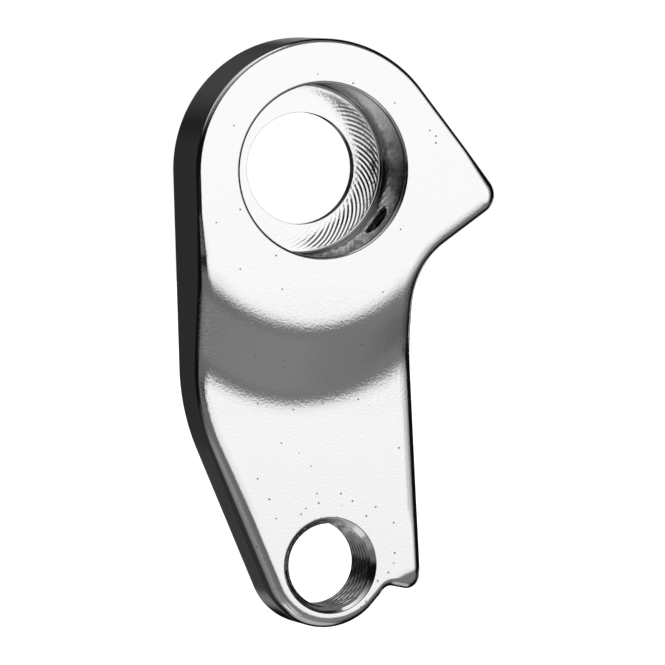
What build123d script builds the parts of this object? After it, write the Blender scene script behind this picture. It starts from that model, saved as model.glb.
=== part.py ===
from build123d import *
from math import cos, radians, sin, tan
import os

# Derailleur hanger for a 12 mm thru axle, milled from one piece of aluminium and polished.
# Millimetres. The plate stands in the XZ plane. The origin is on the axle axis, in the flat
# back face. +X is towards the pointed ear, +Z is up, and the milled front faces -Y.

# Plate: full thickness round the axle, thinner by the step along the arm
thickness = 9.6
step_depth = 2.4
back_edge_radius = 0.8

# Boss and axle seat
boss_radius = 14.1
axle_bore_radius = 6.05
axle_bore_edge_break = 0.15
counterbore_radius = 9.35
counterbore_depth = 8.2
counterbore_corner_radius = 0.4
counterbore_edge_break = 0.25

# Derailleur hole, M10 x 1, at the lower end of the arm
hole_x = 1.55
hole_drop = 42.6
thread_minor_radius = 4.48
thread_mouth_chamfer = 0.7
thread_back_chamfer = 0.6

# Set screw hole, M4, from the wall of the counterbore out under the ear
set_screw_minor_radius = 1.65
set_screw_depth = 3.95
set_screw_angle = -37.7

# Sides of the outline. Each is straight. Its angle is the way it looks, in degrees from +X.
# The left side and the top of the ear are tangent to the boss, and the notch side and the
# lower left side are tangent to the round lower end.
left_side_angle = 181.8
ear_top_angle = 38.1
ear_bottom_angle = -54.9
ear_bottom_offset = 14.5
right_side_angle = 2.9
right_side_offset = 9.72
tab_bottom_angle = -101.8
tab_bottom_drop = 0.9
notch_side_angle = -42.0
lower_left_angle = 203.2

# Corners of the outline
end_radius = 6.9
end_shift_x = -0.3
end_shift_z = 0.15
ear_tip_radius = 2.2
ear_root_radius = 8.1
tab_corner_radius = 1.35
notch_radius = 1.0
lower_left_radius = 24.0

# Ramp between the two levels: an arc that runs down at a slant, with a soft blend above
# and below
ramp_arc_radius = 17.4
ramp_arc_x = -1.5
ramp_arc_z = 0.2
ramp_run_x = -0.9
ramp_run_z = -7.4
ramp_blend_radius = 10.0
ramp_flank_slope = 36.0

# Rounding of the front edge: small round the boss, larger round the arm and the ear tip.
# It widens over a taper that ends this far below the axle on the left, and at the ear tip.
boss_edge_radius = 0.5
arm_edge_radius = 0.9
edge_taper_length = 4.5
edge_taper_end_drop = 9.0

# How far a cutting shape reaches past the solid that it cuts
overcut = 2.0


def side(angle, distance, about=(0.0, 0.0)):
    """Side of the outline that looks one way, in degrees, at a distance from a point."""
    facing = radians(angle)
    return facing, distance + about[0] * cos(facing) + about[1] * sin(facing)


def crossing(first, second):
    """Point where two sides meet."""
    (facing_1, distance_1), (facing_2, distance_2) = first, second
    spread = sin(facing_2 - facing_1)
    x = (distance_1 * sin(facing_2) - distance_2 * sin(facing_1)) / spread
    z = (distance_2 * cos(facing_1) - distance_1 * cos(facing_2)) / spread
    return Vector(x, z)


def edge_corner(point, facing, radius):
    """Square corner of the front edge less its rounding, square to the edge at a point."""
    outward = Vector(cos(facing), 0, sin(facing))
    plane = Plane(
        origin=(point.X, -thickness, point.Y), x_dir=outward, z_dir=outward.cross(Vector(0, 1, 0))
    )
    corner = Polyline(
        (0, radius), (overcut, radius), (overcut, -overcut), (-radius, -overcut), (-radius, 0)
    )
    return plane * make_face(corner + RadiusArc((-radius, 0), (0, radius), -radius))


# Outline of the plate, from the sides and the corners between them
axle_plane = Plane.XZ
front_plane = Plane.XZ.offset(thickness)
hole = Vector(hole_x, -hole_drop)
end = hole + Vector(end_shift_x, end_shift_z)
left_side = side(left_side_angle, boss_radius)
ear_top = side(ear_top_angle, boss_radius)
ear_bottom = side(ear_bottom_angle, ear_bottom_offset)
right_side = side(right_side_angle, right_side_offset)
tab_bottom = side(tab_bottom_angle, tab_bottom_drop, (hole.X, hole.Y))
notch_side = side(notch_side_angle, end_radius, (end.X, end.Y))
lower_left = side(lower_left_angle, end_radius, (end.X, end.Y))
corners = [
    (crossing(left_side, ear_top), boss_radius),
    (crossing(ear_top, ear_bottom), ear_tip_radius),
    (crossing(ear_bottom, right_side), ear_root_radius),
    (crossing(right_side, tab_bottom), tab_corner_radius),
    (crossing(tab_bottom, notch_side), notch_radius),
    (crossing(notch_side, lower_left), end_radius),
    (crossing(lower_left, left_side), lower_left_radius),
]
outline = axle_plane * make_face(
    FilletPolyline(
        [point for point, _ in corners], radius=[radius for _, radius in corners], close=True
    )
)

# Stock with both levels: a block at the level of the arm, and on it the pad of the boss,
# whose lower edge is the ramp
box = outline.bounding_box()
reach_x = max(abs(box.min.X), abs(box.max.X)) + overcut
reach_z = max(abs(box.min.Z), abs(box.max.Z)) + overcut
block = Rectangle(2 * reach_x, 2 * reach_z)
slope = radians(ramp_flank_slope)
apex_z = ramp_arc_z - ramp_arc_radius / cos(slope)
flank_x = 2 * reach_x
flank_z = apex_z + flank_x * tan(slope)
pad_edge = FilletPolyline(
    (ramp_arc_x - flank_x, flank_z),
    (ramp_arc_x, apex_z),
    (ramp_arc_x + flank_x, flank_z),
    radius=ramp_arc_radius,
)
pad_top = Polyline(
    pad_edge @ 1,
    (ramp_arc_x + flank_x, flank_z + 2 * reach_z),
    (ramp_arc_x - flank_x, flank_z + 2 * reach_z),
    pad_edge @ 0,
)
ramp_run = Vector(ramp_run_x, step_depth, ramp_run_z)
pad = extrude(front_plane * make_face(pad_edge + pad_top), dir=ramp_run, amount=ramp_run.length)
pad &= extrude(axle_plane * block, thickness)
stock = extrude(axle_plane * block, thickness - step_depth) + pad
ramp_edges = [
    edge
    for edge in stock.edges()
    if edge.center().Y < -overcut
    and abs(edge.center().X) < reach_x - overcut / 2
    and abs(edge.center().Z) < reach_z - overcut / 2
    and abs((edge % 0.5).Y) < 0.01
]
plate = fillet(ramp_edges, ramp_blend_radius) & extrude(outline, thickness)

# Arm and ear tip with the larger rounding of the front edge
walls = plate.faces().filter_by(lambda face: abs(face.normal_at().Y) < 0.01)
front_rim = [
    edge for edge in walls.edges() if edge.center().Y < -thickness / 4 and abs((edge % 0.5).Y) < 0.9
]
rounded = fillet(front_rim, arm_edge_radius)
left_facing, ear_facing = radians(left_side_angle), radians(ear_top_angle)
half_turn = radians(ear_top_angle - ear_bottom_angle) / 2
to_tip = Vector(sin(ear_facing), -cos(ear_facing))
down_left_side = Vector(-sin(left_facing), cos(left_facing))
ear_end = crossing(ear_top, ear_bottom) - to_tip * (ear_tip_radius * tan(half_turn))
ear_start = ear_end - to_tip * edge_taper_length
left_end = crossing(left_side, side(-90, edge_taper_end_drop))
left_start = left_end - down_left_side * edge_taper_length
far = 4 * (reach_x + reach_z)
half_plane = Rectangle(far, far, align=(Align.CENTER, Align.MIN))
above_left_end = Pos(left_end) * Rot(0, 0, left_side_angle - 180) * half_plane
before_ear_end = Pos(ear_end) * Rot(0, 0, ear_top_angle) * half_plane
boss_zone = extrude(axle_plane * (above_left_end & before_ear_end), thickness)
arm = rounded - boss_zone

# Boss with the smaller rounding, which widens to the arm's at both ends
boss = plate & boss_zone
boss_path = front_plane * FilletPolyline(
    left_start, crossing(left_side, ear_top), ear_start, radius=boss_radius
)
boss -= sweep(edge_corner(left_start, left_facing, boss_edge_radius), path=boss_path)
for start, stop, facing in (
    (left_start, left_end, left_facing),
    (ear_start, ear_end, ear_facing),
):
    boss -= loft(
        [edge_corner(start, facing, boss_edge_radius), edge_corner(stop, facing, arm_edge_radius)]
    )
body = arm + boss
body = fillet(body.edges().filter_by_position(Axis.Y, -0.001, 0.001), back_edge_radius)

# Axle seat: a counterbore from the front, with a thin floor that has the axle bore in it
floor_y = counterbore_depth - thickness
seat_profile = FilletPolyline(
    (0, overcut),
    (axle_bore_radius + axle_bore_edge_break + overcut, overcut),
    (axle_bore_radius, -axle_bore_edge_break),
    (axle_bore_radius, floor_y + axle_bore_edge_break),
    (axle_bore_radius + axle_bore_edge_break, floor_y),
    (counterbore_radius, floor_y),
    (counterbore_radius, counterbore_edge_break - thickness),
    (counterbore_radius + counterbore_edge_break + overcut, -thickness - overcut),
    (0, -thickness - overcut),
    radius=[0, 0, 0, 0, 0, counterbore_corner_radius, 0, 0, 0],
    close=True,
)
axle_seat = revolve(make_face(seat_profile), Axis.Y)

# Derailleur hole, cut to the crests of its thread, with a wide chamfer at the mouth
mouth_y = step_depth - thickness
hole_profile = Polyline(
    (0, overcut),
    (thread_minor_radius + thread_back_chamfer + overcut, overcut),
    (thread_minor_radius, -thread_back_chamfer),
    (thread_minor_radius, mouth_y + thread_mouth_chamfer),
    (thread_minor_radius + thread_mouth_chamfer + overcut, mouth_y - overcut),
    (0, mouth_y - overcut),
    close=True,
)
derailleur_hole = Pos(hole.X, 0, hole.Y) * revolve(make_face(hole_profile), Axis.Y)

# Set screw hole, from the middle of the counterbore out through its wall
set_screw_hole = (
    Pos(0, set_screw_depth - thickness, 0)
    * Rot(0, 90 - set_screw_angle, 0)
    * Cylinder(set_screw_minor_radius, reach_x, align=(Align.CENTER, Align.CENTER, Align.MIN))
)

hanger = body - axle_seat - derailleur_hole - set_screw_hole
hanger.label = "hanger"
os.makedirs("parts", exist_ok=True)
export_step(hanger, "parts/hanger.step")
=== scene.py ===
"""Polished thru-axle derailleur hanger: its visual model, its finishes and a small studio."""

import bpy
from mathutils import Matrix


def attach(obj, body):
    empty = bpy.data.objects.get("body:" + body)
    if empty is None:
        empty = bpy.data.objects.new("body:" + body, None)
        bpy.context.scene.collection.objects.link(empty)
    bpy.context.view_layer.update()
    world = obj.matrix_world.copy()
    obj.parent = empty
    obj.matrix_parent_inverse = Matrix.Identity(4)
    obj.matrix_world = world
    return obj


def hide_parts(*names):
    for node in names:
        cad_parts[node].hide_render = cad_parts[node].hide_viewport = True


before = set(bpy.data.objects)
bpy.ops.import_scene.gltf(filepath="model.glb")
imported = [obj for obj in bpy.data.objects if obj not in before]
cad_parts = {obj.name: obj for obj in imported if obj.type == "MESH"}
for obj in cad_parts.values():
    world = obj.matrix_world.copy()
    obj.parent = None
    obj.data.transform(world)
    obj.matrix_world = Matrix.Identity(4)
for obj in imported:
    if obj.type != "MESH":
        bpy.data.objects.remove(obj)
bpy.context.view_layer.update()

import logging
from dataclasses import dataclass, field
from enum import Enum
from math import cos, pi, radians, sin, tan

import bmesh
import bpy
import numpy as np
from bpy.types import Material, Mesh, Node, NodeSocket, NodeTree, Object
from mathutils import Matrix, Vector
from mathutils.geometry import delaunay_2d_cdt

Array = np.ndarray
Faces = list[list[int]]
Pair = tuple[float, float]
Inputs = dict[str | int, object]
Sockets = bpy.types.bpy_prop_collection

MM = 0.001
WHITE = (1.0, 1.0, 1.0, 1.0)
CAD_NODE = "hanger"
THICKNESS = 9.6
DERAILLEUR_HOLE = (1.55, -42.6)
FILL_INSIDE = 1
FILL_MERGE_DISTANCE = 1e-7
CLEAR_OF_HOLE = 1.12
SLIVER_PARTS = 10
log = logging.getLogger("hanger")


class Surface(Enum):
    """The finishes that the hanger shows, in the order of its material slots. The wall of the counterbore
    and the thread of the set screw hole have painted shade in their colour.
    """

    POLISHED = 0
    MILLED_FLOOR = 1
    # Darker colour: painted shade in the counterbore and the axle bore.
    TURNED_WALL_SHADED = 2
    THREAD = 3
    # Dark colour: painted shade deep in the set screw hole.
    SCREW_THREAD_SHADED = 4


def unit(angle: float) -> Array:
    """Unit vector in the plane of the plate at an angle in degrees from +X."""
    return np.array([cos(radians(angle)), sin(radians(angle))])


def side(angle: float, distance: float, about: Array) -> Pair:
    """Side that looks one way at a distance from a point, as an angle and a distance from the axle."""
    return angle, distance + float(unit(angle) @ about)


def crossing(first: Pair, second: Pair) -> Array:
    """Point, as x and z, where two sides meet, each an angle and a distance from the axle."""
    return np.linalg.solve(np.array([unit(first[0]), unit(second[0])]), [first[1], second[1]])


def spread(columns: int) -> Array:
    """Angles of a number of columns, spread evenly round a circle."""
    return np.arange(columns) * 2 * pi / columns


def circle(radius: Array | float, columns: int, centre: Pair = (0.0, 0.0)) -> Array:
    """Points of the plate's plane round a centre, at one radius or at a radius for each column."""
    turns = spread(columns)
    return np.stack([np.cos(turns), np.sin(turns)], axis=1) * np.reshape(radius, (-1, 1)) + centre


def stand(flat: Array, y: Array | float) -> Array:
    """Points of the plate's plane, placed in space at a y or at a y for each."""
    return np.insert(flat, 1, y, axis=1)


def quads(rows: int, columns: int) -> Faces:
    """Joins rows of points that close on themselves.

    Args:
        rows: The number of rows.
        columns: The number of points in each.

    Returns:
        Four-sided faces, as indices of the points.
    """
    here = np.arange(rows * columns).reshape(rows, columns)
    after = np.roll(here, -1, axis=1)
    return np.stack([here[:-1], after[:-1], after[1:], here[1:]], axis=2).reshape(-1, 4).tolist()


def within(dots: Array, loop: Array) -> Array:
    """Finds which dots lie inside a loop.

    Args:
        dots: Points of a plane.
        loop: The points of a closed line in it.

    Returns:
        True for each dot that is inside.
    """
    x, z = dots.T
    inside = np.zeros(len(dots), bool)
    for (x1, z1), (x2, z2) in zip(loop, np.roll(loop, -1, axis=0)):
        if z1 != z2:
            inside ^= ((z < z1) != (z < z2)) & (x < x1 + (z - z1) * (x2 - x1) / (z2 - z1))
    return inside


def fill(points: Array, loops: list[Array]) -> Faces:
    """Triangulates the region inside a loop and outside the holes in it.

    Args:
        points: All points of the region, in its own plane.
        loops: Indices of the points of the outer loop, and then of the loop of each hole.

    Returns:
        Triangles as indices of the points.
    """
    edges = [(int(a), int(b)) for loop in loops for a, b in zip(loop, np.roll(loop, -1))]
    made = delaunay_2d_cdt([Vector(p) for p in points], edges, [], FILL_INSIDE, FILL_MERGE_DISTANCE)
    placed, triangles, origin = np.array([list(p) for p in made[0]]), np.array(made[2]), made[3]
    centre = placed[triangles].mean(axis=1)
    kept = np.ones(len(centre), bool)
    for hole in loops[1:]:
        kept &= ~within(centre, points[hole])
    return [[origin[i][0] for i in triangle] for triangle in triangles[kept]]


def fill_loops(loops: list[Array], dots: list[Array]) -> tuple[Array, Faces]:
    """Makes the flat sheet between loops.

    Args:
        loops: The points of the outer loop, and then of the loop of each hole.
        dots: More points between them.

    Returns:
        The points of the sheet and its triangles.
    """
    flat = np.vstack(loops + dots)
    stops = np.cumsum([len(loop) for loop in loops])
    return flat, fill(flat, [np.arange(stop - len(loop), stop) for loop, stop in zip(loops, stops)])


def pierce(u: Array, v: Array, hole: Array) -> tuple[Array, Faces]:
    """Makes a sheet from a grid of points with one hole in it.

    Args:
        u: The place of each point of the grid along its rows.
        v: Its place across them.
        hole: The loop of the hole.

    Returns:
        The points that are left, with the hole's last, and the faces.
    """
    grid = np.stack([u.ravel(), v.ravel()], axis=1)
    index = np.arange(u.size).reshape(u.shape)
    border = np.concatenate([index[0], index[1:, -1], index[-1, -2::-1], index[-2:0:-1, 0]])
    centre = hole.mean(axis=0)
    reach = np.abs(hole - centre).max(axis=0) * CLEAR_OF_HOLE
    near = (((grid - centre) / reach) ** 2).sum(axis=1) < 1
    near[border] = False
    number = np.cumsum(~near) - 1
    points = np.vstack([grid[~near], hole])
    return points, fill(points, [number[border], np.arange(len(points) - len(hole), len(points))])


def show(name: str, data: bpy.types.ID) -> Object:
    """Puts a new object in the scene.

    Args:
        name: Its name.
        data: The mesh, light or camera that it shows.

    Returns:
        The object.
    """
    made = bpy.data.objects.new(name, data)
    bpy.context.scene.collection.objects.link(made)
    return made


@dataclass
class Tree:
    """A node tree, with short ways to build it."""

    data: NodeTree

    def feed(self, node: Node, inputs: Inputs) -> Sockets:
        """Sets inputs of a node.

        Args:
            node: The node.
            inputs: For each input, the socket that is linked to it or its value.

        Returns:
            The outputs of the node.
        """
        for label, value in inputs.items():
            if isinstance(value, NodeSocket):
                self.data.links.new(value, node.inputs[label])
            else:
                node.inputs[label].default_value = value
        return node.outputs

    def add(self, kind: str, inputs: Inputs, **settings: object) -> Sockets:
        """Adds a node.

        Args:
            kind: Its type.
            inputs: Its inputs, as for feed.
            settings: Its own settings.

        Returns:
            Its outputs.
        """
        node = self.data.nodes.new(kind)
        for label, value in settings.items():
            setattr(node, label, value)
        return self.feed(node, inputs)

    def calc(self, rule: str, *values: object) -> NodeSocket:
        """Result of one step of arithmetic on sockets and numbers."""
        return self.add("ShaderNodeMath", dict(enumerate(values)), operation=rule)["Value"]

    def steps(self, value: NodeSocket, ends: Pair) -> NodeSocket:
        """Smooth step of a value, from 0 at the first end to 1 at the second."""
        inputs = {"Value": value, "From Min": ends[0], "From Max": ends[1]}
        return self.add("ShaderNodeMapRange", inputs, interpolation_type="SMOOTHSTEP")["Result"]


@dataclass
class Skin:
    """Collects the sheets of one closed surface, in mm, and welds them to one mesh."""

    points: list[Array] = field(default_factory=list)
    faces: Faces = field(default_factory=list)
    surfaces: list[int] = field(default_factory=list)
    count: int = 0

    def sheet(self, points: Array, faces: Faces, surface: Surface) -> None:
        """Adds a sheet.

        Args:
            points: Its points, in mm.
            faces: Its faces, as indices of the points.
            surface: Its finish.
        """
        self.points.append(points)
        self.faces += [[i + self.count for i in face] for face in faces]
        self.surfaces += [surface.value] * len(faces)
        self.count += len(points)

    def grid(self, rows: list[Array], surface: Surface) -> None:
        """Adds a sheet of four-sided faces from rows of points that close on themselves."""
        self.sheet(np.vstack(rows), quads(len(rows), len(rows[0])), surface)

    def mesh_sheet(self, mesh: Mesh, surface: Surface) -> None:
        """Adds the faces of a mesh that is in metres."""
        points = np.array([vertex.co for vertex in mesh.vertices], float) / MM
        self.sheet(points, [list(polygon.vertices) for polygon in mesh.polygons], surface)

    def weld(self, name: str, weld_distance: float, sharp_angle: float) -> Object:
        """Makes the object.

        Args:
            name: The object's name.
            weld_distance: Points nearer than this are one, in mm.
            sharp_angle: Edges that turn by more than this stay sharp, in degrees.

        Returns:
            The object, at the origin and in metres.
        """
        mesh = bpy.data.meshes.new(name)
        mesh.from_pydata((np.vstack(self.points) * MM).tolist(), [], self.faces)
        mesh.polygons.foreach_set("material_index", self.surfaces)
        bm = bmesh.new()
        bm.from_mesh(mesh)
        bmesh.ops.remove_doubles(bm, verts=bm.verts, dist=weld_distance * MM)
        bmesh.ops.dissolve_degenerate(bm, edges=bm.edges, dist=weld_distance * MM / SLIVER_PARTS)
        bmesh.ops.recalc_face_normals(bm, faces=bm.faces)
        open_edges = sum(1 for edge in bm.edges if not edge.is_manifold)
        bm.to_mesh(mesh)
        bm.free()
        mesh.shade_smooth()
        mesh.set_sharp_from_angle(angle=radians(sharp_angle))
        log.info("%s: %d faces, %d open edges", name, len(mesh.polygons), open_edges)
        return show(name, mesh)


@dataclass
class Outline:
    """Outline of the plate: straight sides and the round corners between them, in mm and degrees.

    The front edge is rounded by its radius in depth and its run inwards. A soft start, which falls
    a little, leads into the rounding.
    """

    boss_radius: float = 14.1
    left_side_angle: float = 181.8
    ear_top_angle: float = 38.1
    ear_bottom: Pair = (-54.9, 14.5)
    right_side: Pair = (2.9, 9.72)
    tab_bottom: Pair = (-101.8, 0.9)
    notch_side_angle: float = -42.0
    lower_left_angle: float = 203.2
    end_radius: float = 6.9
    end_shift: Pair = (-0.3, 0.15)
    ear_tip_radius: float = 2.2
    ear_root_radius: float = 8.1
    tab_corner_radius: float = 1.35
    notch_radius: float = 1.0
    lower_left_radius: float = 24.0
    boss_edge_radius: float = 0.5
    arm_edge_radius: float = 0.9
    edge_taper_length: float = 4.5
    edge_taper_end_drop: float = 9.0
    right_extra_run: float = 0.05
    right_run_levels: tuple[float, float, float, float] = (-39.0, -33.0, -15.0, -8.0)
    left_extra_run: float = 0.56
    left_extra_radius: float = 0.8
    left_run_levels: Pair = (-38.0, -25.0)
    left_facings: Pair = (150.0, 330.0)
    end_run_sides: Pair = (4.5, 6.5)
    end_facings: tuple[float, float, float] = (203.0, 270.0, 310.0)
    end_shares: tuple[float, float, float] = (1.0, 0.5, 0.15)
    least_soft_run: float = 0.03
    soft_extra_run: float = 0.75
    soft_fall: float = 9.5
    soft_levels: Pair = (-40.5, -36.5)
    soft_tip_start: float = 13.0
    soft_tip_facings: Pair = (-54.0, -15.0)
    step: float = 0.34
    turn_step: float = 4.0
    points: Array = field(init=False)
    outward: Array = field(init=False)
    edge_radius: Array = field(init=False)
    edge_run: Array = field(init=False)
    soft_run: Array = field(init=False)
    soft_slope: Array = field(init=False)

    def __post_init__(self) -> None:
        """Works out the points of the outline, the way out at each, and the rounding of its edge."""
        hole = np.array(DERAILLEUR_HOLE)
        end = hole + np.array(self.end_shift)
        left = (self.left_side_angle, self.boss_radius)
        ear_top = (self.ear_top_angle, self.boss_radius)
        tab = side(*self.tab_bottom, hole)
        notch = side(self.notch_side_angle, self.end_radius, end)
        lower_left = side(self.lower_left_angle, self.end_radius, end)
        sides = [left, ear_top, self.ear_bottom, self.right_side, tab, notch, lower_left, left]
        radii = [self.boss_radius, self.ear_tip_radius, self.ear_root_radius, self.tab_corner_radius]
        radii += [self.notch_radius, self.end_radius, self.lower_left_radius]
        self.points, self.outward = self.trace(list(zip(sides, sides[1:], radii)))
        self.round_edge(self.arm_share(left, ear_top))

    def trace(self, corners: list[tuple]) -> tuple[Array, Array]:
        """Samples the outline, clockwise as seen from the front.

        Args:
            corners: For each corner the side before it, the side after it and its radius.

        Returns:
            The points and the unit vectors that look out of the plate there.
        """
        points, outward, bends = [], [], []
        for before, after, radius in corners:
            turn = (before[0] - after[0] + 180) % 360 - 180
            tangent = radius * tan(radians(abs(turn)) / 2)
            corner = crossing(before, after)
            stop = corner + unit(before[0] - turn - 90) * tangent
            bends.append((corner - unit(before[0] - 90) * tangent, stop, before[0], turn, radius))
        previous = bends[-1][1]
        for start, stop, facing, turn, radius in bends:
            pieces = max(1, round(np.linalg.norm(start - previous) / self.step))
            points += [previous + (start - previous) * i / pieces for i in range(pieces)]
            outward += [unit(facing)] * pieces
            centre = start - unit(facing) * radius * np.sign(turn)
            arc_steps = max(abs(turn) / self.turn_step, radians(abs(turn)) * radius / self.step)
            pieces = max(2, round(arc_steps))
            ways = [unit(facing - turn * i / pieces) for i in range(pieces)]
            points += [centre + way * radius * np.sign(turn) for way in ways]
            outward += ways
            previous = stop
        return np.array(points), np.array(outward)

    def arm_share(self, left: Pair, ear_top: Pair) -> Array:
        """Works out where the front edge has the arm's rounding.

        Args:
            left: The left side, as an angle and a distance from the axle.
            ear_top: The top side of the ear.

        Returns:
            At each point 0 round the boss, 1 round the arm and the ear tip, and between in the tapers.
        """
        down, to_tip = unit(left[0] + 90), unit(ear_top[0] - 90)
        left_end = crossing(left, (-90, self.edge_taper_end_drop))
        turn = radians(ear_top[0] - self.ear_bottom[0])
        ear_end = crossing(ear_top, self.ear_bottom) - to_tip * self.ear_tip_radius * tan(turn / 2)
        past_left = (self.points - left_end) @ down / self.edge_taper_length + 1
        past_ear = (self.points - ear_end) @ to_tip / self.edge_taper_length + 1
        return np.clip(np.maximum(past_left, past_ear), 0, 1)

    def round_edge(self, share: Array) -> None:
        """Works out the rounding of the front edge at each point, wider where it is more worn.

        Args:
            share: Where the edge has the arm's rounding.
        """
        x, z = self.points.T
        turn = np.degrees(np.arctan2(self.outward[:, 1], self.outward[:, 0]))
        facing, first, last = turn % 360, *self.left_facings
        right_share = np.interp(z, self.right_run_levels, (0, 1, 1, 0)) * (x > 0) * share
        left_share = np.interp(z, self.left_run_levels, (1, 0)) * (facing < last) * (facing > first)
        left_share *= np.interp(facing, self.end_facings, self.end_shares)
        left_share *= np.interp(x, self.end_run_sides, (1, 0))
        radius = self.boss_edge_radius + (self.arm_edge_radius - self.boss_edge_radius) * share
        self.edge_run = radius + self.right_extra_run * right_share + self.left_extra_run * left_share
        self.edge_radius = radius + self.left_extra_radius * left_share
        tip_share = np.interp((facing + 180) % 360 - 180, self.soft_tip_facings, (1, 0))
        soft_share = share * np.interp(z, self.soft_levels, (0, 1))
        soft_share = soft_share * np.where(x > self.soft_tip_start, tip_share, 1)
        self.soft_run = self.least_soft_run + self.soft_extra_run * soft_share
        self.soft_slope = tan(radians(self.soft_fall)) * soft_share

    def ray(self, start: Array, way: Array) -> Pair:
        """Follows a ray to the outline.

        Args:
            start: Where the ray starts, inside the outline.
            way: The unit vector that it follows.

        Returns:
            The length of the ray, and the place along the outline as a share of its point count.
        """
        along = np.roll(self.points, -1, axis=0) - self.points
        det = way[0] * -along[:, 1] + way[1] * along[:, 0]
        gap = self.points - start
        reach = (gap[:, 0] * -along[:, 1] + gap[:, 1] * along[:, 0]) / det
        share = (way[0] * gap[:, 1] - way[1] * gap[:, 0]) / det
        return min((r, i + s) for i, (r, s) in enumerate(zip(reach, share)) if r > 0 and 0 <= s < 1)


@dataclass
class Ramp:
    """Milled front of the plate: the level of the boss, the level of the arm and the ramp between."""

    step_depth: float = 2.4
    arc_radius: float = 17.4
    arc_centre: Pair = (-1.5, 0.2)
    run: Pair = (-0.9, -7.4)
    blend_radius: float = 10.0
    flank_slope: float = 36.0
    left_reach: float = 0.9
    facet_corner: Pair = (8.5, -44.53)
    facet_angle: float = -67.0
    facet_slope: float = 16.0
    facet_blend: float = 0.5
    facet_reach: float = 1.0
    solving_rounds: int = 6

    def surface(self, flat: Array) -> Array:
        """Points of the milled front at points of the plate's plane, without the edge's rounding.

        Args:
            flat: The points of the plane.

        Returns:
            The points in space.
        """
        x, z = flat.T
        limit, share = radians(self.flank_slope), np.zeros_like(x)
        for _ in range(self.solving_rounds):
            dx = x - self.arc_centre[0] - share * self.run[0]
            dz = z - self.arc_centre[1] - share * self.run[1]
            lean = np.clip(np.arctan2(dx, -dz), -limit, limit)
            per_share = np.sin(lean) * self.run[0] - np.cos(lean) * self.run[1]
            share += (np.sin(lean) * dx - np.cos(lean) * dz - self.arc_radius) / per_share
        reach = self.left_reach * np.clip(-lean / limit, 0, 1)
        length, distance = per_share + reach, share * per_share + reach
        slope = np.arctan(self.step_depth / length)
        lower = self.step_depth - self.bend(length - distance, slope)
        fall = np.where(distance < length / 2, self.bend(distance, slope), lower)
        return stand(flat, self.facet(x, z) - (THICKNESS - fall))

    def facet(self, x: Array, z: Array) -> Array:
        """Works out the flat that is worn on the corner of the tab.

        Args:
            x: Where a point is from left to right.
            z: Where it is from bottom to top.

        Returns:
            How deep the flat lies there.
        """
        way, blend = unit(self.facet_angle), self.facet_blend
        past = (x - self.facet_corner[0]) * way[0] + (z - self.facet_corner[1]) * way[1]
        past = np.where(x > self.facet_corner[0] - self.facet_reach, past, -1)
        eased = np.clip(past + blend / 2, 0, blend) ** 2 / (2 * blend)
        return tan(radians(self.facet_slope)) * np.where(past > blend / 2, past, eased)

    def bend(self, distance: Array, slope: Array) -> Array:
        """Falls from a level over a soft blend into a straight slope.

        Args:
            distance: How far a point lies past the line where slope and level would meet.
            slope: The angle of the slope.

        Returns:
            The fall at the point.
        """
        tangent = self.blend_radius * np.tan(slope / 2)
        into = np.clip(distance + tangent, 0, self.blend_radius * np.sin(slope))
        curved = self.blend_radius - np.sqrt(self.blend_radius**2 - into**2)
        return np.where(distance > tangent * np.cos(slope), distance * np.tan(slope), curved)


@dataclass
class Tube:
    """Plain wall of a hole as rows of points, with what a thread cutter needs to know of each."""

    points: Array
    radial: Array
    along: Array
    bore: Array
    room: Array

    def carrier(self) -> Object:
        """Makes the tube, in metres, with its values as attributes.

        Returns:
            The object.
        """
        turn = np.broadcast_to(np.arange(self.bore.shape[1]) / self.bore.shape[1], self.bore.shape)
        mesh = bpy.data.meshes.new("tube")
        mesh.from_pydata((self.points.reshape(-1, 3) * MM).tolist(), [], quads(*self.bore.shape))
        layers = {"along": self.along, "bore": self.bore, "room": self.room, "turn": turn}
        for label, values in layers.items():
            layer = mesh.attributes.new(label, "FLOAT", "POINT")
            layer.data.foreach_set("value", np.ascontiguousarray(values, np.float32).ravel())
        layer = mesh.attributes.new("radial", "FLOAT_VECTOR", "POINT")
        layer.data.foreach_set("vector", np.ascontiguousarray(self.radial, np.float32).ravel())
        return show("tube", mesh)


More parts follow.
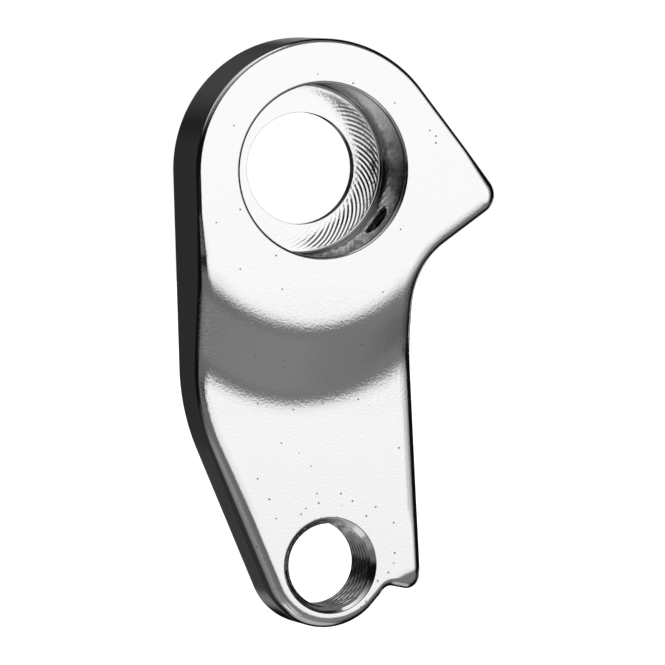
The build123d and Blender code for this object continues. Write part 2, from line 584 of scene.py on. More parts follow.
@dataclass
class ThreadCutter:
    """Geometry Nodes tree that cuts a helical thread into the wall of a plain tube."""

    name: str
    material: Material
    groove: Pair = (0.62, 0.1)
    tree: Tree = field(init=False)

    def __post_init__(self) -> None:
        """Builds the tree, with named inputs for the sizes of the thread in mm."""
        group = bpy.data.node_groups.new(self.name, "GeometryNodeTree")
        group.interface.new_socket("Tube", in_out="INPUT", socket_type="NodeSocketGeometry")
        for label in ("Pitch", "Crest Radius", "Root Radius"):
            group.interface.new_socket(label, in_out="INPUT", socket_type="NodeSocketFloat")
        group.interface.new_socket("Threaded", in_out="OUTPUT", socket_type="NodeSocketGeometry")
        self.tree = tree = Tree(group)
        calc, sizes = tree.calc, tree.add("NodeGroupInput", {})

        def attribute(label: str, kind: str = "FLOAT") -> NodeSocket:
            """Named attribute of the tube."""
            named = tree.add("GeometryNodeInputNamedAttribute", {"Name": label}, data_type=kind)
            return named["Attribute"]

        turns = calc("SUBTRACT", calc("DIVIDE", attribute("along"), sizes["Pitch"]), attribute("turn"))
        wave = calc("ABSOLUTE", calc("SUBTRACT", calc("MULTIPLY", calc("FRACT", turns), 2.0), 1.0))
        depth = calc("SUBTRACT", sizes["Root Radius"], sizes["Crest Radius"])
        radius = calc("MULTIPLY_ADD", tree.steps(wave, self.groove), depth, sizes["Crest Radius"])
        deeper = calc("MAXIMUM", calc("SUBTRACT", radius, attribute("bore")), 0.0)
        move = calc("MULTIPLY", calc("MINIMUM", deeper, attribute("room")), MM)
        outwards = {0: attribute("radial", "FLOAT_VECTOR"), "Scale": move}
        offset = tree.add("ShaderNodeVectorMath", outwards, operation="SCALE")["Vector"]
        shape = sizes["Tube"]
        for kind, values in (
            ("GeometryNodeSetPosition", {"Offset": offset}),
            ("GeometryNodeRealizeInstances", {}),
            ("GeometryNodeSetMaterial", {"Material": self.material}),
        ):
            shape = tree.add(kind, {"Geometry": shape, **values})["Geometry"]
        tree.add("NodeGroupOutput", {"Threaded": shape})

    def cut(self, tube: Tube, pitch: float, crest_radius: float, root_radius: float) -> Mesh:
        """Cuts the thread.

        Args:
            tube: The plain tube.
            pitch: The step from one groove to the next, in mm.
            crest_radius: The radius of the hole between the grooves.
            root_radius: The radius of the hole in them.

        Returns:
            The mesh of the threaded tube, in metres.
        """
        sizes = {"Pitch": pitch, "Crest Radius": crest_radius, "Root Radius": root_radius}
        carrier = tube.carrier()
        modifier = carrier.modifiers.new(self.name, "NODES")
        modifier.node_group = self.tree.data
        for item in self.tree.data.interface.items_tree:
            if item.in_out == "INPUT" and item.name in sizes:
                modifier[item.identifier] = sizes[item.name]
        shown = carrier.evaluated_get(bpy.context.evaluated_depsgraph_get())
        mesh = bpy.data.meshes.new_from_object(shown)
        carrier.modifiers.remove(modifier)
        bpy.data.objects.remove(carrier)
        return mesh


@dataclass
class DerailleurHole:
    """Tapped hole at the lower end of the arm, M10 x 1, with a wide chamfer at its mouth."""

    centre: Pair = DERAILLEUR_HOLE
    crest_radius: float = 4.48
    root_radius: float = 5.02
    pitch: float = 1.0
    mouth_chamfer: float = 0.7
    mouth_round: float = 0.25
    mouth_steps: int = 4
    back_chamfer: float = 0.6
    columns: int = 192
    rows_per_mm: int = 18
    rim_wear: float = 0.02
    nick_count: int = 16
    nick_depth: float = 0.16
    least_nick: float = 0.3
    nick_seed: int = 7

    def mouth_radius(self) -> float:
        """Radius of the hole in the front face."""
        return self.crest_radius + self.mouth_chamfer + self.mouth_round * tan(pi / 8)

    def rim(self) -> Array:
        """Wears the edge of the mouth.

        Returns:
            Its radius at each column, with the nicks.
        """
        draw = np.random.default_rng(self.nick_seed)
        radii = self.mouth_radius() + draw.uniform(0, self.rim_wear, self.columns)
        chosen = draw.choice(self.columns, self.nick_count, replace=False)
        radii[chosen] += draw.uniform(self.least_nick, 1.0, self.nick_count) * self.nick_depth
        return radii

    def build(self, skin: Skin, depth: float, cutter: ThreadCutter) -> None:
        """Adds the chamfers and the thread between them.

        Args:
            skin: The skin of the hanger.
            depth: The thickness of the plate there.
            cutter: The cutter of the thread.
        """
        tilt = np.linspace(0, pi / 4, self.mouth_steps + 1)[1:]
        rounding = self.mouth_round * (1 - np.cos(tilt))
        below = np.linspace(rounding[-1], depth, round(depth * self.rows_per_mm) + 1)[1:]
        y = np.concatenate([[0], rounding, below]) - depth
        widest = np.maximum(self.mouth_chamfer - (y + depth), self.back_chamfer + y)
        radii = self.crest_radius + np.maximum(widest, 0)
        radii[1:len(tilt) + 1] = self.mouth_radius() - self.mouth_round * np.sin(tilt)
        bore = np.repeat(radii[:, None], self.columns, axis=1)
        bore[0] = self.rim()
        rows = [stand(circle(row, self.columns, self.centre), level) for row, level in zip(bore, y)]
        radial = np.broadcast_to(stand(circle(1.0, self.columns), 0.0), (len(y), self.columns, 3))
        along = np.broadcast_to(y[:, None], bore.shape)
        tube = Tube(np.array(rows), radial, along, bore, np.ones(bore.shape))
        threaded = cutter.cut(tube, self.pitch, self.crest_radius, self.root_radius)
        skin.mesh_sheet(threaded, Surface.THREAD)


@dataclass
class SetScrewHole:
    """Small tapped hole, M4, from the wall of the counterbore out under the ear."""

    crest_radius: float = 1.65
    root_radius: float = 2.0
    pitch: float = 0.7
    edge_break: float = 0.08
    depth: float = 3.95
    angle: float = -37.7
    columns: int = 48
    rows: int = 100
    fade: float = 0.9

    def ways(self) -> tuple[Array, Array]:
        """Works out how the hole lies.

        Returns:
            The way out along it, and for each column the way from its axis to its wall.
        """
        x, z = unit(self.angle)
        turns = spread(self.columns)[:, None]
        radial = np.cos(turns) * np.array([-z, 0, x]) + np.sin(turns) * np.array([0, 1, 0])
        return np.array([x, 0, z]), radial

    def place(self, reach: Array, radius: Array | float) -> Array:
        """Places a loop round the hole.

        Args:
            reach: How far from the axle axis it is, at each column.
            radius: How far from the axis of the hole.

        Returns:
            Its points.
        """
        out, radial = self.ways()
        middle = np.array([0, self.depth - THICKNESS, 0])
        return middle + reach[:, None] * out + np.reshape(radius, (-1, 1)) * radial

    def mouth(self, wall_radius: float) -> Array:
        """Loop where the hole leaves the wall of the counterbore, at the radius of that wall."""
        edge = self.crest_radius + self.edge_break
        return self.place(np.sqrt(wall_radius**2 - (edge * np.cos(spread(self.columns))) ** 2), edge)

    def exit(self, outline: Outline) -> tuple[Array, Array]:
        """Finds where the hole leaves the outside of the plate.

        Args:
            outline: The outline of the plate.

        Returns:
            The loop, and its places along the outline.
        """
        edge, way = self.crest_radius + self.edge_break, unit(self.angle)
        start = np.array([-way[1], way[0]]) * edge
        reach, at = np.array([outline.ray(start * a, way) for a in np.cos(spread(self.columns))]).T
        return self.place(reach, edge), at

    def build(self, skin: Skin, wall_radius: float, outline: Outline, cutter: ThreadCutter) -> None:
        """Adds the tube between the two loops, with its thread.

        Args:
            skin: The skin of the hanger.
            wall_radius: The radius of the wall of the counterbore.
            outline: The outline of the plate.
            cutter: The cutter of the thread.
        """
        out, radial = self.ways()
        start, stop = self.mouth(wall_radius) @ out, self.exit(outline)[0] @ out
        reach = start + (stop - start) * np.linspace(0, 1, self.rows)[:, None]
        from_end = np.minimum(reach - start, stop - reach)
        bore = self.crest_radius + np.maximum(self.edge_break - from_end, 0)
        points = np.array([self.place(r, b) for r, b in zip(reach, bore)])
        room = np.clip(from_end / self.fade, 0, 1) * (self.root_radius - self.crest_radius)
        tube = Tube(points, np.broadcast_to(radial, points.shape), reach, bore, room)
        threaded = cutter.cut(tube, self.pitch, self.crest_radius, self.root_radius)
        # Its material's dark colour is painted shade in the hole.
        skin.mesh_sheet(threaded, Surface.SCREW_THREAD_SHADED)


@dataclass
class AxleSeat:
    """Counterbore from the front and the axle bore in its thin floor."""

    bore_radius: float = 6.05
    bore_edge_break: float = 0.15
    floor_edge_break: float = 0.03
    wall_radius: float = 9.28
    depth: float = 8.2
    corner_radius: float = 0.26
    edge_round: float = 0.32
    foot_width: float = 0.1
    foot_rise: float = 0.022
    columns: int = 288
    wall_rows: int = 14
    round_rows: int = 6
    floor_rows: int = 8

    def rim_radius(self) -> float:
        """Radius of the seat in the front face."""
        return self.wall_radius + self.edge_round

    def back_radius(self) -> float:
        """Radius of the bore in the back face."""
        return self.bore_radius + self.bore_edge_break

    def build(self, skin: Skin, screw: SetScrewHole) -> None:
        """Adds the rim, the wall with the mouth of the set screw hole, the floor and the bore.

        Args:
            skin: The skin of the hanger.
            screw: The set screw hole.
        """
        def turned(profile: list[Pair], surface: Surface = Surface.TURNED_WALL_SHADED) -> None:
            """Turns a profile, given as pairs of radius and y, round the axle axis."""
            skin.grid([stand(circle(radius, self.columns), y) for radius, y in profile], surface)

        tilts = np.radians(np.linspace(0, 90, self.round_rows))
        rim, corner, wall = self.edge_round, self.corner_radius, self.wall_radius
        floor_y = self.depth - THICKNESS
        foot_y = floor_y - self.foot_rise
        foot_radius, inner = wall - corner, self.bore_radius + self.floor_edge_break
        floor_radius = foot_radius - self.foot_width
        rounding = [(self.rim_radius() - rim * sin(t), rim * (1 - cos(t)) - THICKNESS) for t in tilts]
        turned(rounding, Surface.POLISHED)
        # The wall, its corner and foot, and the axle bore take a darker colour: painted shade.
        self.wall(skin, rim - THICKNESS, foot_y - corner, screw)
        turned([(wall - corner * (1 - cos(t)), foot_y - corner + corner * sin(t)) for t in tilts])
        turned([(foot_radius, foot_y), (floor_radius, floor_y)])
        radii = np.linspace(floor_radius, inner, self.floor_rows)
        turned([(radius, floor_y) for radius in radii], Surface.MILLED_FLOOR)
        bore = [(inner, floor_y), (self.bore_radius, floor_y + self.floor_edge_break)]
        turned(bore + [(self.bore_radius, -self.bore_edge_break), (self.back_radius(), 0.0)])

    def wall(self, skin: Skin, top: float, foot: float, screw: SetScrewHole) -> None:
        """Adds the wall of the counterbore, pierced by the set screw hole.

        Args:
            skin: The skin of the hanger.
            top: The y of its upper edge.
            foot: The y of its lower edge.
            screw: The set screw hole.
        """
        radius, mouth = self.wall_radius, screw.mouth(self.wall_radius)
        columns = np.arange(self.columns + 1) * 2 * pi / self.columns - pi
        u, v = np.meshgrid(columns * radius, np.linspace(top, foot, self.wall_rows))
        turn = np.arctan2(mouth[:, 2], mouth[:, 0])
        sheet, faces = pierce(u, v, np.stack([turn * radius, mouth[:, 1]], axis=1))
        angle, y = sheet[:, 0] / radius, sheet[:, 1]
        placed = np.stack([radius * np.cos(angle), y, radius * np.sin(angle)], axis=1)
        placed[-len(mouth):] = mouth
        skin.sheet(placed, faces, Surface.TURNED_WALL_SHADED)


@dataclass
class Hanger:
    """The hanger: one piece of aluminium, milled, tapped, rounded and polished."""

    name: str = "hanger_body"
    back_edge_radius: float = 0.8
    outline: Outline = field(default_factory=Outline)
    ramp: Ramp = field(default_factory=Ramp)
    seat: AxleSeat = field(default_factory=AxleSeat)
    hole: DerailleurHole = field(default_factory=DerailleurHole)
    screw: SetScrewHole = field(default_factory=SetScrewHole)
    skin: Skin = field(default_factory=Skin)
    edge_steps: int = 12
    soft_steps: int = 5
    back_edge_rows: int = 11
    guard: float = 0.05
    mesh_step: float = 0.45
    mesh_row_share: float = 0.866
    mesh_clear_share: float = 0.6
    wall_rows: int = 12
    sharp_angle: float = 40.0
    weld_distance: float = 0.002

    def build(self, finishes: dict[Surface, Material]) -> Object:
        """Makes the hanger's mesh and dresses it.

        Args:
            finishes: The material of each surface.

        Returns:
            The hanger, in place.
        """
        skin, cutter = self.skin, ThreadCutter("cut thread", finishes[Surface.THREAD])
        self.front()
        self.back()
        self.side_wall()
        self.seat.build(skin, self.screw)
        self.hole.build(skin, THICKNESS - self.ramp.step_depth, cutter)
        self.screw.build(skin, self.seat.wall_radius, self.outline, cutter)
        made = skin.weld(self.name, self.weld_distance, self.sharp_angle)
        for surface in Surface:
            made.data.materials.append(finishes[surface])
        return made

    def rounded(self, share: float) -> Array:
        """Works out one ring of the rounded front edge.

        Args:
            share: Where it is: from -1 to 0 over the soft start, and from there to 1 round to the side.

        Returns:
            Its points, in mm.
        """
        line, soft = self.outline, min(share, 0)
        start = np.arctan(line.soft_slope * line.edge_run / line.edge_radius)
        turn = start + (pi / 2 - start) * max(share, 0)
        inward = line.edge_run * (1 - np.sin(turn)) - line.soft_run * soft
        fall = line.edge_radius * (np.cos(start) - np.cos(turn))
        fall += line.soft_slope * line.soft_run / 2 * (1 + soft) ** 2
        ring = self.ramp.surface(line.points - line.outward * inward[:, None])
        ring[:, 1] += fall
        return ring

    def front(self) -> None:
        """Adds the rounding of the front edge and the milled front inside it."""
        soft = np.linspace(0, -1, self.soft_steps + 1)[1:]
        shares = np.append(np.linspace(1, 0, self.edge_steps + 1), soft)
        rings = [self.rounded(share) for share in shares]
        inner = rings[-1][:, [0, 2]] - self.outline.outward * self.guard
        self.skin.grid(rings + [self.ramp.surface(inner)], Surface.POLISHED)
        seat_radius, seat_columns = self.seat.rim_radius(), self.seat.columns
        hole_radii, hole_columns, centre = self.hole.rim(), self.hole.columns, self.hole.centre
        loops = [inner, circle(seat_radius, seat_columns), circle(hole_radii, hole_columns, centre)]
        low, high = self.outline.points.min(axis=0), self.outline.points.max(axis=0)
        rows = np.arange(low[1], high[1], self.mesh_step * self.mesh_row_share)
        x, z = np.meshgrid(np.arange(low[0], high[0], self.mesh_step), rows)
        x = x + (np.arange(len(rows)) % 2)[:, None] * self.mesh_step / 2
        dots = np.stack([x.ravel(), z.ravel()], axis=1)
        dots = dots[within(dots, inner)]
        for loop in loops:
            gap = np.linalg.norm(dots[:, None] - loop[None], axis=2).min(axis=1)
            dots = dots[gap > self.mesh_step * self.mesh_clear_share]
        dots = dots[np.hypot(*dots.T) > seat_radius]
        dots = dots[np.hypot(*(dots - centre).T) > self.hole.crest_radius + self.hole.mouth_chamfer]
        guards = [circle(seat_radius + self.guard, seat_columns)]
        guards.append(circle(hole_radii + self.guard, hole_columns, centre))
        flat, faces = fill_loops(loops, guards + [dots])
        self.skin.sheet(self.ramp.surface(flat), faces, Surface.POLISHED)

    def back(self) -> None:
        """Adds the rounding of the back edge and the flat back inside it."""
        line, radius, hole = self.outline, self.back_edge_radius, self.hole
        rings = []
        for tilt in np.radians(np.linspace(90, 0, self.back_edge_rows)):
            flat = line.points - line.outward * radius * (1 - sin(tilt))
            rings.append(stand(flat, -radius * (1 - cos(tilt))))
        inner = line.points - line.outward * (radius + self.guard)
        self.skin.grid(rings + [stand(inner, 0.0)], Surface.POLISHED)
        seat_loop = circle(self.seat.back_radius(), self.seat.columns)
        hole_loop = circle(hole.crest_radius + hole.back_chamfer, hole.columns, hole.centre)
        flat, faces = fill_loops([inner, seat_loop, hole_loop], [])
        self.skin.sheet(stand(flat, 0.0), faces, Surface.POLISHED)

    def side_wall(self) -> None:
        """Adds the wall round the plate, pierced where the set screw hole comes out."""
        closed = np.vstack([self.outline.points, self.outline.points[:1]])
        place = np.append(0, np.cumsum(np.linalg.norm(np.diff(closed, axis=0), axis=1)))
        top = self.rounded(1)[:, 1]
        share = np.linspace(0, 1, self.wall_rows)[:, None]
        v = np.append(top, top[0]) * (1 - share) - self.back_edge_radius * share
        loop, at = self.screw.exit(self.outline)
        hole = np.stack([np.interp(at, np.arange(len(place)), place), loop[:, 1]], axis=1)
        sheet, faces = pierce(np.broadcast_to(place, v.shape), v, hole)
        x, z = (np.interp(sheet[:, 0], place, values) for values in closed.T)
        placed = np.stack([x, sheet[:, 1], z], axis=1)
        placed[-len(loop):] = loop
        self.skin.sheet(placed, faces, Surface.POLISHED)


class Effect(Tree):
    """Shader node group: an effect that materials share, with named inputs and outputs."""

    def __init__(self, name: str, inputs: dict[str, float], outputs: list[str]) -> None:
        """Makes an empty group.

        Args:
            name: The group's name.
            inputs: The name of each number that it takes, and its default.
            outputs: The name of each value that it gives.
        """
        super().__init__(bpy.data.node_groups.new(name, "ShaderNodeTree"))
        declare = self.data.interface.new_socket
        declare("Place", in_out="INPUT", socket_type="NodeSocketVector")
        for label, value in inputs.items():
            declare(label, in_out="INPUT", socket_type="NodeSocketFloat").default_value = value
        for label in outputs:
            declare(label, in_out="OUTPUT", socket_type="NodeSocketFloat")
        self.given = self.add("NodeGroupInput", {})
        self.place = self.given["Place"]

    def noise(self, place: NodeSocket, scale: float, detail: float, rough: float = 0.5) -> NodeSocket:
        """Noise from 0 to 1 at a scale."""
        inputs = {"Vector": place, "Scale": scale, "Detail": detail, "Roughness": rough}
        return self.add("ShaderNodeTexNoise", inputs)["Fac"]

    def axes(self) -> list[NodeSocket]:
        """X, Y and Z of the place, in mm."""
        split = self.add("ShaderNodeSeparateXYZ", {"Vector": self.place})
        return [self.calc("DIVIDE", split[axis], MM) for axis in "XYZ"]

    def away(self, x: NodeSocket, z: NodeSocket) -> NodeSocket:
        """Distance from an axis along Y, from the x and z to it."""
        return self.calc("SQRT", self.calc("ADD", self.calc("MULTIPLY", x, x), self.calc("MULTIPLY", z, z)))

    def give(self, **values: NodeSocket) -> "Effect":
        """The effect, with these values linked to its outputs."""
        self.add("NodeGroupOutput", values)
        return self


def polish_effect() -> Effect:
    """Builds the waviness that polishing leaves, and the fine strokes of the wheel, as heights in mm.

    Returns:
        The effect, which also gives a cloud of slow changes from 0 to 1.
    """
    wave_scale, wave_rough, cloud_scale = 3900.0, 0.6, 420.0
    top_fade, foot_fade, front_depths = (3.0, 0.0), (-2.5, 0.0), (-4.0, -6.5)
    stroke_turn, stroke_scales = (0.0, radians(52.0), 0.0), (900.0, 900.0, 9000.0)
    sizes = {"Wave Depth": 0.0, "Ramp Wave": 0.0, "Ramp Top": -14.5, "Ramp Foot": -24.5, "Stroke Depth": 0.0}
    effect = Effect("polish", sizes, ["Height", "Cloud"])
    calc, given = effect.calc, effect.given
    _, y, z = effect.axes()
    above = effect.steps(calc("SUBTRACT", z, given["Ramp Top"]), top_fade)
    below = effect.steps(calc("SUBTRACT", z, given["Ramp Foot"]), foot_fade)
    on_ramp = calc("MULTIPLY", calc("MULTIPLY", above, below), effect.steps(y, front_depths))
    depth = calc("MULTIPLY_ADD", on_ramp, given["Ramp Wave"], given["Wave Depth"])
    wave = effect.noise(effect.place, wave_scale, detail=2.0, rough=wave_rough)
    mapping = {"Vector": effect.place, "Rotation": stroke_turn, "Scale": stroke_scales}
    turned = effect.add("ShaderNodeMapping", mapping)["Vector"]
    stroke = effect.noise(turned, scale=1.0, detail=3.0)
    height = calc("MULTIPLY_ADD", stroke, given["Stroke Depth"], calc("MULTIPLY", wave, depth))
    return effect.give(Height=height, Cloud=effect.noise(effect.place, cloud_scale, detail=3.0))


def pits_effect() -> Effect:
    """Builds small pits in the metal, with more of them round one place.

    Returns:
        The effect, a mask that is 1 in a pit.
    """
    crowd_reach, pit_scale, pit_sizes = (9.0, 6.5), 1500.0, (0.18, 0.1)
    effect = Effect("pits", {"Amount": 0.5, "Crowd": 0.0, "Crowd X": 0.0, "Crowd Z": 0.0}, ["Mask"])
    calc, given = effect.calc, effect.given
    x, _, z = effect.axes()
    away = effect.away(calc("SUBTRACT", x, given["Crowd X"]), calc("SUBTRACT", z, given["Crowd Z"]))
    amount = calc("MULTIPLY_ADD", effect.steps(away, crowd_reach), given["Crowd"], given["Amount"])
    cells = effect.add("ShaderNodeTexVoronoi", {"Vector": effect.place, "Scale": pit_scale})
    draw = effect.add("ShaderNodeSeparateColor", {"Color": cells["Color"]})["Red"]
    near = effect.steps(cells["Distance"], pit_sizes)
    return effect.give(Mask=calc("MULTIPLY", near, calc("LESS_THAN", draw, amount)))


def mill_effect() -> Effect:
    """Builds the arcs that an end mill leaves in the floor of a round pocket.

    Each arc is the edge of the cutter at one step of its way round. They are deepest on one side,
    where the cutter took the most.

    Returns:
        The effect, a height in mm.
    """
    uneven_scale, uneven_steps, patch_scale, patch_ends, patch_share = 260.0, 0.7, 900.0, (0.3, 0.6), 0.3
    deep_radii, least_share, rim_radii, rim_loss, side_ends = (6.4, 7.8), 0.28, (8.2, 9.3), 0.3, (0.0, 0.8)
    sizes = {"Count": 62.0, "Path Radius": 4.6, "Cutter Radius": 5.0}
    sizes.update({"Climb Share": 0.5, "Depth": 0.01, "Deepest": -0.35})
    effect = Effect("end mill arcs", sizes, ["Height"])
    calc, given = effect.calc, effect.given
    x, _, z = effect.axes()
    radius, angle = effect.away(x, z), calc("ARCTAN2", z, x)
    path, cutter = given["Path Radius"], given["Cutter Radius"]
    squares = calc("ADD", calc("MULTIPLY", radius, radius), calc("MULTIPLY", path, path))
    over = calc("SUBTRACT", squares, calc("MULTIPLY", cutter, cutter))
    lag = calc("ARCCOSINE", calc("DIVIDE", over, calc("MULTIPLY", calc("MULTIPLY", radius, path), 2.0)))
    steps = calc("MULTIPLY", calc("SUBTRACT", angle, lag), calc("DIVIDE", given["Count"], 2 * pi))
    uneven = effect.noise(effect.place, uneven_scale, detail=1.0)
    phase = calc("FRACT", calc("MULTIPLY_ADD", uneven, uneven_steps, steps))
    climb = calc("DIVIDE", phase, given["Climb Share"])
    fall = calc("DIVIDE", calc("SUBTRACT", 1.0, phase), calc("SUBTRACT", 1.0, given["Climb Share"]))
    deep = calc("MULTIPLY_ADD", effect.steps(radius, deep_radii), 1 - least_share, least_share)
    deep = calc("MULTIPLY_ADD", effect.steps(radius, rim_radii), -rim_loss, deep)
    on_side = effect.steps(calc("COSINE", calc("SUBTRACT", angle, given["Deepest"])), side_ends)
    patch = effect.steps(effect.noise(effect.place, patch_scale, detail=2.0), patch_ends)
    patch = calc("MULTIPLY_ADD", patch, patch_share, 1 - patch_share)
    share = calc("MULTIPLY", calc("MULTIPLY", on_side, deep), patch)
    tooth = calc("MINIMUM", climb, fall)
    return effect.give(Height=calc("MULTIPLY", tooth, calc("MULTIPLY", given["Depth"], share)))


def turned_effect() -> Effect:
    """Builds the fine rings that a boring tool leaves round the axle axis.

    Returns:
        The effect, a height in mm.
    """
    rings_per_mm, turn_scale, lead, ring_rough = 3.0, 0.7, 0.25, 0.7
    effect = Effect("turned rings", {"Depth": 0.001}, ["Height"])
    x, y, z = effect.axes()
    calc, turn = effect.calc, effect.calc("ARCTAN2", z, x)
    rise = calc("MULTIPLY_ADD", turn, lead, calc("MULTIPLY", y, rings_per_mm))
    unrolled = {"X": calc("MULTIPLY", turn, turn_scale), "Y": rise}
    place = effect.add("ShaderNodeCombineXYZ", unrolled)["Vector"]
    rings = effect.noise(place, scale=1.0, detail=4.0, rough=ring_rough)
    return effect.give(Height=calc("MULTIPLY", rings, effect.given["Depth"]))


@dataclass(frozen=True)
class Finish:
    """One finish of the aluminium, with the strength of each effect in it. A colour darker than the polished
    metal is painted shade, not a finish of its own.
    """

    name: str
    colour: tuple[float, float, float] = (0.975, 0.975, 0.975)
    roughness: float = 0.1
    cloud: float = 0.03
    wave_depth: float = 0.0
    ramp_wave: float = 0.0
    stroke_depth: float = 0.0
    pit_amount: float = 0.0
    pit_crowd: float = 0.0
    crowd_at: Pair = DERAILLEUR_HOLE
    pit_depth: float = 0.01
    pit_roughness: float = 0.3
    pit_shade: float = 0.35
    pit_tint: float = 0.8
    mill_depth: float = 0.0
    turned_depth: float = 0.0

    def material(self, effects: dict[str, Effect]) -> Material:
        """Builds the material.

        Args:
            effects: The shared effects by name.

        Returns:
            The material.
        """
        made = bpy.data.materials.new(self.name)
        made.use_nodes = True
        tree = Tree(made.node_tree)
        calc, place = tree.calc, tree.add("ShaderNodeTexCoord", {})["Object"]

        def effect(label: str, values: dict[str, float]) -> Sockets:
            """Places a shared effect and sets its inputs."""
            inputs = {"Place": place, **values}
            return tree.add("ShaderNodeGroup", inputs, node_tree=effects[label].data)

        strokes = {"Ramp Wave": self.ramp_wave, "Stroke Depth": self.stroke_depth}
        polish = effect("polish", {"Wave Depth": self.wave_depth, **strokes})
        crowd = {"Crowd": self.pit_crowd, "Crowd X": self.crowd_at[0], "Crowd Z": self.crowd_at[1]}
        pits = effect("pits", {"Amount": self.pit_amount, **crowd})["Mask"]
        height = calc("MULTIPLY_ADD", pits, -self.pit_depth, polish["Height"])
        for label, depth in (("mill", self.mill_depth), ("turned", self.turned_depth)):
            if depth:
                height = calc("ADD", height, effect(label, {"Depth": depth})["Height"])
        bump = tree.add("ShaderNodeBump", {"Distance": MM, "Height": height})["Normal"]
        rough = calc("MULTIPLY_ADD", polish["Cloud"], self.cloud, self.roughness - self.cloud / 2)
        rough = calc("MULTIPLY_ADD", pits, self.pit_roughness, rough)
        tints = {"A": (*self.colour, 1.0), "B": (*(c * self.pit_shade for c in self.colour), 1.0)}
        tints["Factor"] = calc("MULTIPLY", pits, self.pit_tint)
        tint = tree.add("ShaderNodeMix", tints, data_type="RGBA")["Result"]
        looks = {"Metallic": 1.0, "Base Color": tint, "Roughness": rough, "Normal": bump}
        tree.feed(made.node_tree.nodes["Principled BSDF"], looks)
        return made


@dataclass(frozen=True)
class SoftPanel:
    """Part of the studio that the metal reflects, by where it lies seen from the hanger, in degrees.

    Azimuth 0 is straight in front, positive to the right. Outside its sides the level fades.
    """

    left: float
    right: float
    bottom: float
    top: float
    fade_across: float
    fade_below: float
    fade_above: float
    level: float

    def share(self, tree: Tree, azimuth: NodeSocket, elevation: NodeSocket) -> NodeSocket:
        """Adds the nodes of the panel.

        Args:
            tree: The world's tree.
            azimuth: The azimuth that is looked at.
            elevation: Its elevation.

        Returns:
            The level of the panel there.
        """
        half = (self.right - self.left) / 2
        off = tree.calc("SUBTRACT", azimuth, (self.left + self.right) / 2)
        off = tree.calc("ABSOLUTE", tree.calc("WRAP", off, 180.0, -180.0))
        level = self.level
        for value, far, near in (
            (off, half + self.fade_across, half),
            (elevation, self.bottom - self.fade_below, self.bottom),
            (elevation, self.top + self.fade_above, self.top),
        ):
            level = tree.calc("MULTIPLY", tree.steps(value, (far, near)), level)
        return level


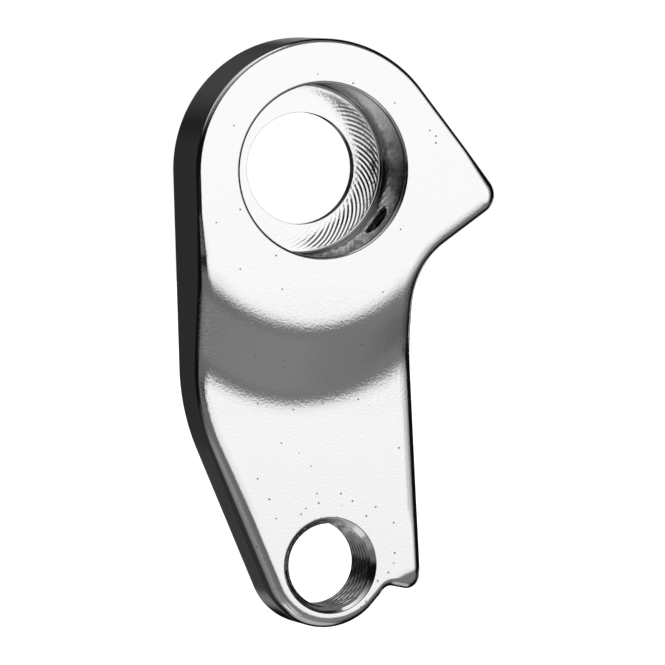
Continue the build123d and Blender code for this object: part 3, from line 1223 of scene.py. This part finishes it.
@dataclass
class Studio:
    """Camera at the photograph's angle, a pale floor, and the light round the hanger."""

    azimuth: float = -17.95
    elevation: float = 2.97
    distance: float = 801.6
    focal_pixels: float = 7500.0
    photo_side: float = 665.0
    axle_pixel: Pair = (323.5, 170.4)
    clip: Pair = (0.05, 50.0)
    floor_drop: float = 0.2
    floor_size: float = 8.0
    floor_colour: float = 0.9
    floor_glow: float = 0.6
    lamp_energy: float = 2.2
    lamp_spread: float = 25.0
    lamp_lean: float = 25.0
    lamp_turn: float = -40.0
    room_level: float = 0.004
    panels: tuple[SoftPanel, ...] = tuple(SoftPanel(*numbers) for numbers in (
        # Each row: left, right, bottom, top, fade across, fade below, fade above and level.
        # The bright window in front, to the right, and the paler steps beside it
        (3, 23.5, -3, 14, 8, 6, 6, 1.0),
        (3, 23.5, -9, 14, 8, 13, 6, 0.86),
        (3, 32, -9, 14, 12, 13, 6, 0.6),
        (3, 44, -9, 14, 14, 13, 6, 0.3),
        # In front and to the left, high up
        (-35, 35, 24, 78, 15, 9, 10, 0.13),
        (-120, -15, 78, 88, 25, 60, 2, 0.9),
        # In front and to the left, low down
        (8, 42, -80, -15, 14, 7, 5, 0.17),
        (40, 44, -80, -25, 48, 7, 9, 0.145),
        (-95, 20, -86, -33, 30, 7, 18, 0.2),
        (-70, 5, -30, -11, 12, 7, 6, 0.13),
        (-74, -60, -46, -33, 15, 12, 6, 0.27),
        (-30, -18, -60, -40, 8, 6, 4, 0.55),
        (-80, -50, -70, -54, 12, 6, 6, 0.7),
        # Straight below, all the way round
        (-181, 181, -91, -72, 1, 1, 14, 0.42),
        # Behind
        (-177, -155, -14, 4, 8, 12, 12, 0.02),
        (-165, -105, -40, -20, 10, 8, 5, 0.024),
        (158, 186, 18, 30, 14, 16, 16, 0.05),
        (178, 184, -24, -8, 5, 10, 6, 0.16),
        (144, 160, 0.5, 8, 8, 4, 6, 0.34),
        (119, 151, -21, -10, 16, 6, 4, 0.45),
        (-141, -109, 30, 54, 18, 14, 14, 0.5),
    ))

    def build(self) -> None:
        """Makes the camera, the floor, the lamp and the world."""
        self.camera()
        self.floor()
        self.lamp()
        self.world()
        bpy.context.scene.view_settings.view_transform = "Standard"

    def camera(self) -> None:
        """Camera at the photograph's angle and distance."""
        a, e = radians(self.azimuth), radians(self.elevation)
        back = Vector((sin(a) * cos(e), -cos(a) * cos(e), sin(e)))
        right = Vector((cos(a), sin(a), 0.0))
        up = back.cross(right)
        off_x, off_y = ((p - self.photo_side / 2) / self.focal_pixels for p in self.axle_pixel)
        aim = Vector((0.0, -THICKNESS, 0.0))
        at = aim + (back - right * off_x + up * off_y) * self.distance
        data = bpy.data.cameras.new("camera")
        data.lens = self.focal_pixels / self.photo_side * data.sensor_width
        data.clip_start, data.clip_end = self.clip
        made = show("camera", data)
        made.matrix_world = Matrix.Translation(at * MM) @ Matrix((right, up, back)).transposed().to_4x4()
        bpy.context.scene.camera = made

    def floor(self) -> None:
        """Pale floor well below the hanger, which keeps its shadow."""
        half, z = self.floor_size / 2, -self.floor_drop
        mesh = bpy.data.meshes.new("floor")
        corners = [(-half, -half, z), (half, -half, z), (half, half, z), (-half, half, z)]
        mesh.from_pydata(corners, [], [(0, 1, 2, 3)])
        made = show("floor", mesh)
        made.visible_glossy = False
        material = bpy.data.materials.new("floor")
        material.use_nodes = True
        tree = Tree(material.node_tree)
        seen = tree.add("ShaderNodeLightPath", {})["Is Camera Ray"]
        glow = tree.calc("MULTIPLY", seen, self.floor_glow)
        looks = {"Base Color": (*[self.floor_colour] * 3, 1.0), "Roughness": 1.0}
        looks.update({"Emission Color": WHITE, "Emission Strength": glow})
        tree.feed(material.node_tree.nodes["Principled BSDF"], looks)
        mesh.materials.append(material)

    def lamp(self) -> None:
        """Wide soft light from above, for the shadow on the floor."""
        data = bpy.data.lights.new("lamp", "SUN")
        data.energy = self.lamp_energy
        data.angle = radians(self.lamp_spread)
        made = show("lamp", data)
        made.rotation_euler = (radians(self.lamp_lean), 0.0, radians(self.lamp_turn))
        made.visible_glossy = False

    def world(self) -> None:
        """White to the camera, and to the metal a studio of soft panels in a dark room."""
        world = bpy.data.worlds.new("studio")
        bpy.context.scene.world = world
        world.use_nodes = True
        tree = Tree(world.node_tree)
        calc, way = tree.calc, tree.add("ShaderNodeTexCoord", {})["Generated"]
        x, y, z = tree.add("ShaderNodeSeparateXYZ", {"Vector": way})
        azimuth = calc("MULTIPLY", calc("ARCTAN2", x, calc("MULTIPLY", y, -1.0)), 180 / pi)
        elevation = calc("MULTIPLY", calc("ARCSINE", z), 180 / pi)
        total, *others = [panel.share(tree, azimuth, elevation) for panel in self.panels]
        for level in others:
            total = calc("MAXIMUM", total, level)
        seen = tree.add("ShaderNodeLightPath", {})["Is Camera Ray"]
        level = calc("MAXIMUM", calc("ADD", total, self.room_level), seen)
        tree.feed(world.node_tree.nodes["Background"], {"Color": WHITE, "Strength": level})


def main() -> None:
    """Builds the hanger and its studio, and reports the hanger."""
    logging.basicConfig(level=logging.INFO, format="%(message)s")
    Studio().build()
    effects = {"polish": polish_effect(), "pits": pits_effect()}
    effects.update({"mill": mill_effect(), "turned": turned_effect()})
    polished = Finish("polished", roughness=0.12, wave_depth=0.008, ramp_wave=0.012,
                      stroke_depth=0.0004, pit_amount=0.06, pit_crowd=0.45)
    finishes = {
        Surface.POLISHED: polished,
        Surface.MILLED_FLOOR: Finish("milled floor", roughness=0.09, wave_depth=0.012, mill_depth=0.028),
        # Its colour of 0.74 is painted shade in the counterbore and the axle bore.
        Surface.TURNED_WALL_SHADED: Finish("turned wall with painted shade", (0.74, 0.74, 0.74), turned_depth=0.01),
        Surface.THREAD: Finish("thread", roughness=0.13, wave_depth=0.003),
        # Its colour of 0.3 is painted shade deep in the set screw hole.
        Surface.SCREW_THREAD_SHADED: Finish("screw thread with painted shade", (0.3, 0.3, 0.3), roughness=0.25, wave_depth=0.003),
    }
    materials = {surface: finish.material(effects) for surface, finish in finishes.items()}
    hanger = Hanger().build(materials)
    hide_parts(CAD_NODE)
    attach(hanger, "root")
    log.info("hanger: made, %d faces", len(hanger.data.polygons))


if __name__ == "__main__":
    main()
